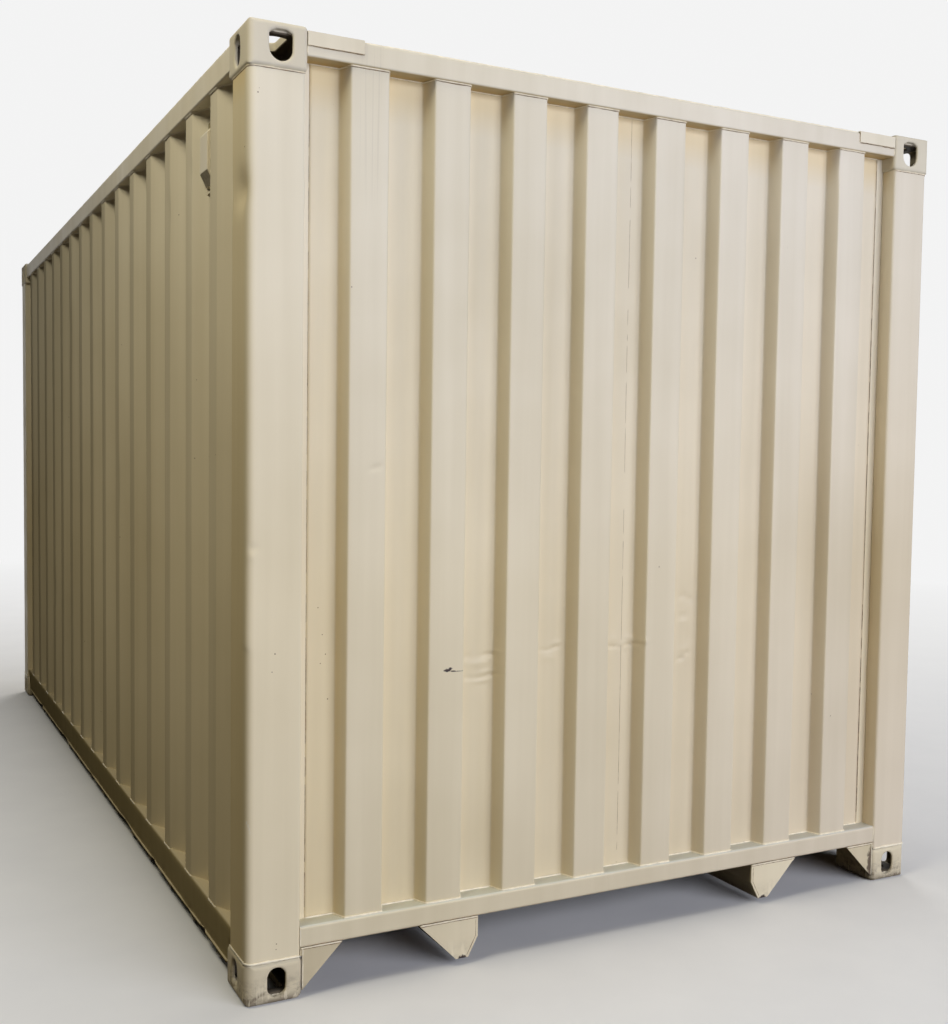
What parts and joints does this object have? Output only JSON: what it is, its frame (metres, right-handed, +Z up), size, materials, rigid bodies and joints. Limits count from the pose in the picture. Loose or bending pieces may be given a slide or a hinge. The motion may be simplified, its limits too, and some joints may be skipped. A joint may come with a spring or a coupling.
{
  "type": "steel freight container, 15 foot class, closed box with rear doors",
  "caption": "Closed steel freight container, cut to the 15 foot class, with ribbed walls, corner fittings, gooseneck tunnel and rear doors.",
  "frame": {"origin": "centre of the footprint, on the level that the base fittings stand on", "axes": "+Z up, +Y along the length towards the doors, +X to the right seen from the closed front end"},
  "size_m": [2.438, 4.6, 2.591],
  "materials": {
    "cream_paint": "satin cream paint on steel, chalky, with scuffs and a little rust at seams",
    "underframe_paint": "dull cream paint, dusty",
    "plywood": "oiled plywood",
    "seal_rubber": "black rubber",
    "zinc_steel": "hot dip galvanised steel, dull"
  },
  "bodies": {
    "root": {"fitting_front_left_top": "cream_paint", "fitting_front_right_top": "cream_paint", "fitting_front_left_base": "cream_paint", "fitting_front_right_base": "cream_paint", "fitting_rear_left_top": "cream_paint", "fitting_rear_right_top": "cream_paint", "fitting_rear_left_base": "cream_paint", "fitting_rear_right_base": "cream_paint", "post_front_left": "cream_paint", "post_front_right": "cream_paint", "post_rear_left": "cream_paint", "post_rear_right": "cream_paint", "front_wall": "cream_paint", "front_header": "cream_paint", "front_sill": "cream_paint", "front_gussets": "cream_paint", "tunnel_plates": "cream_paint", "left_wall": "cream_paint", "right_wall": "cream_paint", "left_top_rail": "cream_paint", "right_top_rail": "cream_paint", "left_base_rail": "cream_paint", "right_base_rail": "cream_paint", "roof_panel": "cream_paint", "roof_corner_plates": "cream_paint", "tunnel": "underframe_paint", "tunnel_bows": "underframe_paint", "outriggers": "underframe_paint", "crossmembers": "underframe_paint", "floor_boards": "plywood", "floor_rail": "underframe_paint", "ventilators": "cream_paint", "rear_header": "cream_paint", "rear_sill": "cream_paint", "left_door": "cream_paint", "right_door": "cream_paint", "door_seals": "seal_rubber", "door_hinges": "cream_paint", "lock_rods": "zinc_steel", "rod_guides": "zinc_steel", "lock_cams": "zinc_steel", "cam_keepers": "zinc_steel", "lock_handles": "zinc_steel", "handle_catches": "zinc_steel"}
  },
  "joints": []
}
